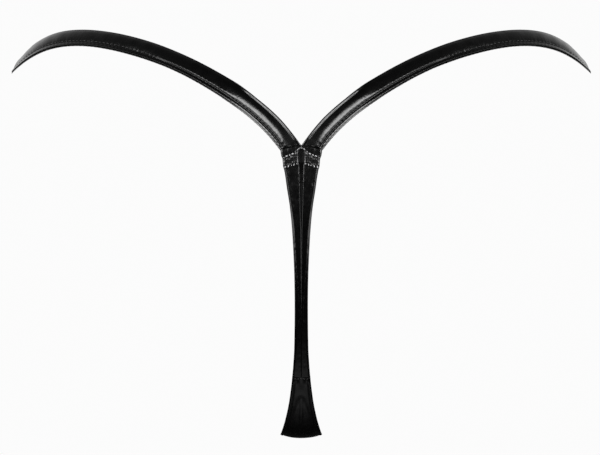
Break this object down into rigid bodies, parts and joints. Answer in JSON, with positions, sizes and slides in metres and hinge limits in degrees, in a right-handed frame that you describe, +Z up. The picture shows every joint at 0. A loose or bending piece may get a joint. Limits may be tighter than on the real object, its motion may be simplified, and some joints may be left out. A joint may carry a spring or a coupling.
{
  "type": "thong back strap",
  "caption": "Rear strap assembly of a coated-fabric thong brief: two curved elastic waist bands meet at a stitched junction above a tapered strap and flared crotch panel.",
  "frame": {"origin": "centre of the yoke's inner face, the face against the wearer, midway between the two bands", "axes": "+X to the right seen from behind the wearer, +Y towards the wearer's front, +Z up"},
  "size_m": [0.372, 0.1063, 0.2606],
  "materials": {
    "coated_fabric": "black stretch fabric with a glossy wet-look coating",
    "lining_fabric": "matt black jersey",
    "elastic_tape": "matt black woven elastic",
    "thread": "black sewing thread with a slight sheen",
    "pale_thread": "pale grey sewing thread with a slight sheen"
  },
  "bodies": {
    "yoke": {"yoke_cover": "coated_fabric", "yoke_facing": "coated_fabric", "yoke_lining": "lining_fabric", "right_band_tail": "coated_fabric", "left_band_tail": "coated_fabric", "yoke_upper_stitches": "pale_thread", "yoke_lower_stitches": "pale_thread"},
    "right_band_inner": {"right_band_inner_cover": "coated_fabric", "right_band_inner_elastic": "elastic_tape", "right_band_inner_stitches": "thread"},
    "right_band_outer": {"right_band_outer_cover": "coated_fabric", "right_band_outer_elastic": "elastic_tape", "right_band_outer_stitches": "thread"},
    "left_band_inner": {"left_band_inner_cover": "coated_fabric", "left_band_inner_elastic": "elastic_tape", "left_band_inner_stitches": "thread"},
    "left_band_outer": {"left_band_outer_cover": "coated_fabric", "left_band_outer_elastic": "elastic_tape", "left_band_outer_stitches": "thread"},
    "rear_strap_upper": {"rear_strap_upper_cover": "coated_fabric", "rear_strap_upper_lining": "lining_fabric"},
    "rear_strap_lower": {"rear_strap_lower_cover": "coated_fabric", "rear_strap_lower_lining": "lining_fabric"},
    "crotch_panel": {"crotch_panel_outer": "coated_fabric", "crotch_panel_lining": "lining_fabric", "crotch_seam_stitches": "thread"}
  },
  "joints": [
    {"name": "right_band_fold", "type": "hinge", "parent": "yoke", "child": "right_band_inner", "pos_m": [0.00971, -0.00052, 0.0117], "axis": [-0.7875, 0.0538, 0.6139], "range_deg": [-40, 60], "stiffness_Nm_per_rad": 0.02},
    {"name": "right_band_curl", "type": "hinge", "parent": "right_band_inner", "child": "right_band_outer", "pos_m": [0.09539, 0.03249, 0.06885], "axis": [-0.4479, 0.3196, 0.835], "range_deg": [-45, 45], "stiffness_Nm_per_rad": 0.02},
    {"name": "left_band_fold", "type": "hinge", "parent": "yoke", "child": "left_band_inner", "pos_m": [-0.00971, -0.00052, 0.0117], "axis": [-0.7875, -0.0538, -0.6139], "range_deg": [-40, 60], "stiffness_Nm_per_rad": 0.02},
    {"name": "left_band_curl", "type": "hinge", "parent": "left_band_inner", "child": "left_band_outer", "pos_m": [-0.09539, 0.03249, 0.06885], "axis": [-0.4479, -0.3196, -0.835], "range_deg": [-45, 45], "stiffness_Nm_per_rad": 0.02},
    {"name": "strap_swing", "type": "hinge", "parent": "yoke", "child": "rear_strap_upper", "pos_m": [0, -0.00159, -0.013], "axis": [1, 0, 0], "range_deg": [-45, 60], "stiffness_Nm_per_rad": 0.02},
    {"name": "strap_curl", "type": "hinge", "parent": "rear_strap_upper", "child": "rear_strap_lower", "pos_m": [0, 0.01025, -0.078], "axis": [1, 0, 0], "range_deg": [-45, 45], "stiffness_Nm_per_rad": 0.02},
    {"name": "crotch_fold", "type": "hinge", "parent": "rear_strap_lower", "child": "crotch_panel", "pos_m": [0, 0.0373, -0.1344], "axis": [1, 0, 0], "range_deg": [-45, 60], "stiffness_Nm_per_rad": 0.02}
  ]
}
